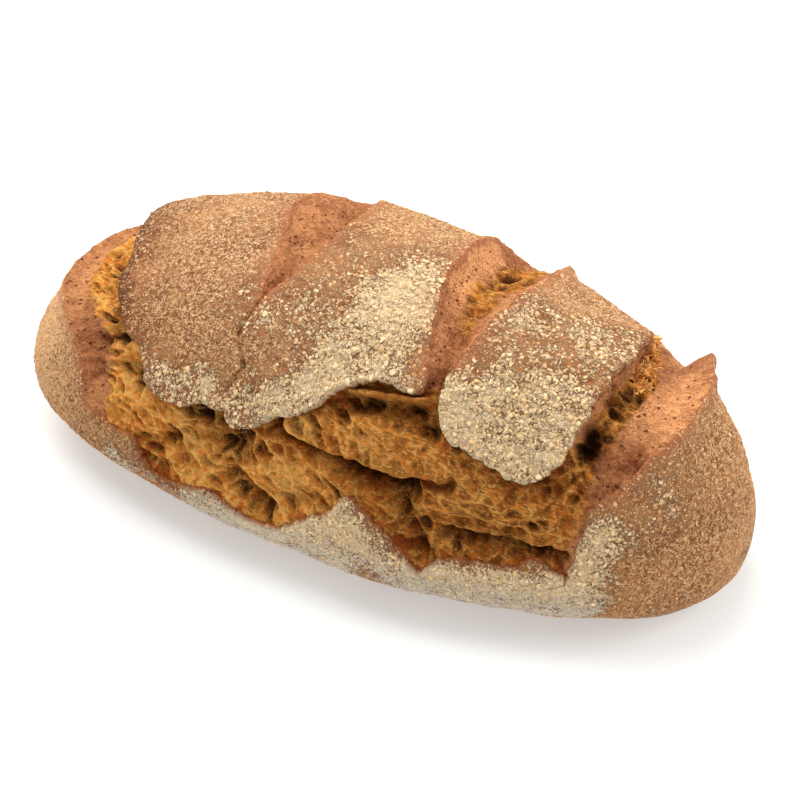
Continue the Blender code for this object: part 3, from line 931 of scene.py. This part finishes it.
def flour_film(m, middle, coarse, fine):
    """Where the dried film of flour lies, from 0 to 1, and how far it covers the skin between its cracks."""
    pattern = m.sum(m.times(fine, 0.8), m.times(coarse, 1.1))
    pattern = m.sum(pattern, m.times(middle, 0.7))
    low = m.fit(m.axis("Z"), 0.02, 0.036, 0.16, 0.0)
    score = m.sum(m.sum(m.times(m.value("flour"), 1.15), low), pattern)
    edges = m.cells(FLAKE_SIZE, "DISTANCE_TO_EDGE", m.pushed(1.5, 2.4))
    thick = m.fit(score, 2.0, 2.5, 0.0, 0.12)
    uneven = m.fit(m.sum(middle, fine), 0.8, 1.2, 0.1, -0.1)
    between = m.fit(m.sum(m.sum(edges, thick), uneven), 0.02, 0.13)
    film = m.fit(score, 1.84, 1.93)
    return film, m.times(film, m.sum(m.times(between, 0.86), 0.06))


def crust_finish():
    m = Mixer("baked_crust")
    burn, baked, wall = (m.value(n) for n in ("burn", "baked", "wall"))
    middle, coarse, fine = m.noise(4.0, 3), m.noise(1.6, 3), m.noise(0.55, 2, 0.6)
    skin, grain = grainy_skin(m, burn, middle, coarse, fine)
    film, cover = flour_film(m, middle, coarse, fine)
    skin = m.mix(m.times(film, 0.85), skin, UNDER_FLOUR)
    dust = m.mix(m.fit(m.axis("Z"), 0.012, 0.035), FLOUR_LOW, FLOUR_HIGH)
    dust = m.mix(m.fit(coarse, 0.42, 0.7, 0, 0.6), dust, FLOUR_BROWNED)
    base = m.mix(cover, skin, dust)
    base = m.mix(baked, base, m.mix(m.fit(fine, 0.45, 0.7), SHOULDER_LIGHT, SHOULDER_DARK))
    torn = m.mix(m.fit(m.noise(1.2, 4), 0.35, 0.65), TORN_DARK, TORN_LIGHT)
    base = m.mix(m.times(wall, m.less(1.0, baked)), base, torn)
    bump = m.sum(m.times(cover, 0.9), m.times(grain, 0.5))
    bump = m.sum(bump, m.sum(m.times(fine, 0.5), m.times(coarse, 1.2)))
    return m.finish(base, m.fit(cover, 0, 1, 0.65, 0.92), bump, 0.55, 0.12)


def raw_crumb(m, broad, middle, fine, strands):
    """The torn crumb's colour: golden, browner to the right, light on its web, dark with painted shade in its
    depths.
    """
    raw = m.mix(m.fit(broad, 0.38, 0.62), RAW_PALE, RAW_GOLD)
    raw = m.mix(m.fit(m.axis("X"), -0.02, 0.04, 0.0, 0.8), raw, RAW_BROWN)
    lit = m.fit(m.axis("X"), -0.02, 0.04, 1.0, 0.6)
    lines = m.sum(m.value("web"), m.fit(m.sum(strands, middle), 0.8, 1.2, -0.35, 0.45))
    ridge = m.mix(m.fit(middle, 0.4, 0.62), RIDGE_PALE, RIDGE_ORANGE)
    raw = m.mix(m.times(m.fit(lines, 0.25, 0.8), lit), raw, ridge)
    # Painted shade: the deeper a place lies in a bubble, cave or hollow, the darker brown it is made.
    pit_shade = m.sum(m.value("depth"), m.fit(fine, 0.35, 0.65, -0.15, 0.15))
    raw = m.mix(m.fit(pit_shade, 0.15, 0.95), raw, PAINTED_SHADE_BROWN)
    toasted = m.sum(m.value("toast"), m.fit(m.sum(middle, broad), 0.85, 1.2, -0.35, 0.45))
    return m.mix(m.fit(toasted, 0.2, 0.9, 0, 0.65), raw, TOASTED)


def baked_walls(m, broad, middle, fine, holes):
    """The colour of the smooth baked walls beside the slashes, with painted light and shade in places."""
    tone = m.sum(m.value("tan_and_painted_light"), m.fit(m.sum(broad, middle), 0.85, 1.15, -0.16, 0.16))
    skin = m.mix(tone, TAN_DARK, TAN_LIGHT)
    skin = m.mix(m.fit(fine, 0.48, 0.66, 0.0, 0.7), skin, TAN_SPECK)
    skin = m.mix(m.value("pore"), skin, PORE_BROWN)
    return m.mix(holes, skin, HOLE_BROWN)


def crumb_finish():
    m = Mixer("torn_crumb")
    bake = m.value("bake")
    broad, middle, fine = m.noise(14, 2), m.noise(2.5, 4), m.noise(0.6, 3, 0.6)
    strands = m.noise(0.8, 3, 0.6, m.stretched((0, 0.49, 0), (0.18, 1.0, 1.0)))
    holes = m.fit(m.cells(3.1, place=m.pushed(2.0, 2.0)), 0.12, 0.22, 0.9, 0.0)
    holes = m.times(m.greater(holes, m.fit(m.cells(1.5), 0.1, 0.2, 0.6, 0.0)), bake)
    raw = raw_crumb(m, broad, middle, fine, strands)
    base = m.mix(bake, raw, baked_walls(m, broad, middle, fine, holes))
    fibres = m.times(m.times(strands, 0.7), m.less(1.0, bake))
    blisters = m.times(m.fit(m.cells(1.3), 0.1, 0.7, 0.5, 0.0), bake)
    bump = m.sum(m.sum(fibres, blisters), m.times(fine, 0.7))
    return m.finish(base, 0.8, m.less(bump, holes), 0.7, 0.1)


def flake_finish(name, light, dark):
    m = Mixer(name)
    fine = m.noise(0.6, 2)
    tone = m.sum(m.value("tone"), m.fit(fine, 0.3, 0.7, -0.25, 0.25))
    return m.finish(m.mix(m.fit(tone, 0.1, 0.9), dark, light), 0.85, fine, 0.2)


def floor_finish():
    """A pale floor that glows a little, so that the shadow on it stays light."""
    m = Mixer("pale_floor")
    m.shader.inputs["Base Color"].default_value = (0.64, 0.65, 0.64, 1)
    m.shader.inputs["Emission Color"].default_value = (1, 1, 0.985, 1)
    m.shader.inputs["Emission Strength"].default_value = 0.4
    m.shader.inputs["Roughness"].default_value = 0.9
    m.shader.inputs["Specular IOR Level"].default_value = 0.0
    return m.material


# The pieces

# Degrees between which each grid is finer, and the share of it that lies there
CRUST_FRONT = (-35, 190, 0.80)
CRUMB_FRONT = (-10, 156, 0.82)

crust, along, around = laid_out(CRUST_GRID, *CRUST_FRONT)
skin = fields(along, around)
shape_crust(crust, skin)
thinned(crust, "crust")
crust.data.materials.append(crust_finish())

crumb, along, around = laid_out(CRUMB_GRID, *CRUMB_FRONT)
inner = fields(along, around)
shape_crumb(crumb, inner)
thinned(crumb, "crumb")
crumb.data.materials.append(crumb_finish())

floured = ramp(skin["flour"], 0.4, 0.7)
high = ramp(skin["placed"][:, 2], 20, 34)
picked, dice = chosen(skin, floured * (0.05 + 0.5 * high), FLAKE_GAP, 81)
flakes = scattered_lumps("flour_flakes", skin, picked, dice, **FLAKES)
flakes.data.materials.append(flake_finish("flour_flakes", FLAKE_LIGHT, FLAKE_DARK))

picked, dice = chosen(skin, (1 - floured) * 0.62, GRANULE_GAP, 82)
granules = scattered_lumps("crust_granules", skin, picked, dice, **GRANULES)
granules.data.materials.append(flake_finish("crust_granules", GRANULE_LIGHT, GRANULE_DARK))

crest = capsule(inner["points"], *CREST) ** 2 * (inner["rough"] > 0.3)
shreds = torn_shreds("crest_shreds", inner, crest + TINY, **SHREDS)
shreds.data.materials.append(flake_finish("crest_shreds", SHRED_LIGHT, SHRED_DARK))

for piece in (crust, crumb, flakes, granules, shreds):
    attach(piece, "root")
    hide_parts("loaf")


# Floor, light and camera

FLOOR_SIZE = 8
KEY = dict(place=(-0.55, 0.35, 1.3), size=1.5, power=25)
SIDE = dict(place=(1.1, 0.55, 0.8), size=0.9, power=9)
SKY = 0.58
AZIMUTH, ELEVATION, DISTANCE = math.radians(30), math.radians(40), 1.1
AIM = (0, 0, 0.045)
PHOTO_SIZE, FILM_WIDTH = 800, 36
FOCAL = 2974 / PHOTO_SIZE * FILM_WIDTH
SHIFT = (11.4, -26.1)  # pixels that the picture is moved by

bpy.ops.mesh.primitive_plane_add(size=FLOOR_SIZE)
floor = bpy.context.object
floor.name = "floor"
floor.data.materials.append(floor_finish())


def area_light(name, place, size, power):
    """A round lamp that faces the loaf."""
    lamp = bpy.data.lights.new(name, "AREA")
    lamp.shape = "DISK"
    lamp.size = size
    lamp.energy = power
    holder = bpy.data.objects.new(name, lamp)
    bpy.context.scene.collection.objects.link(holder)
    holder.location = place
    holder.rotation_euler = Vector(place).to_track_quat("Z", "Y").to_euler()


area_light("key", **KEY)
area_light("side", **SIDE)
world = bpy.data.worlds.new("studio")
world.use_nodes = True
world.node_tree.nodes["Background"].inputs["Color"].default_value = (1, 1, 1, 1)
world.node_tree.nodes["Background"].inputs["Strength"].default_value = SKY
bpy.context.scene.world = world
bpy.context.scene.view_settings.view_transform = "Standard"

level = math.cos(ELEVATION)
back = Vector((math.sin(AZIMUTH) * level, -math.cos(AZIMUTH) * level, math.sin(ELEVATION)))
lens = bpy.data.cameras.new("camera")
lens.sensor_width = FILM_WIDTH
lens.lens = FOCAL
lens.shift_x, lens.shift_y = (pixels / PHOTO_SIZE for pixels in SHIFT)
camera = bpy.data.objects.new("camera", lens)
bpy.context.scene.collection.objects.link(camera)
camera.location = Vector(AIM) - Vector(CENTRE) * MM + back * DISTANCE
camera.rotation_euler = back.to_track_quat("Z", "Y").to_euler()
bpy.context.scene.camera = camera

bpy.context.view_layer.update()
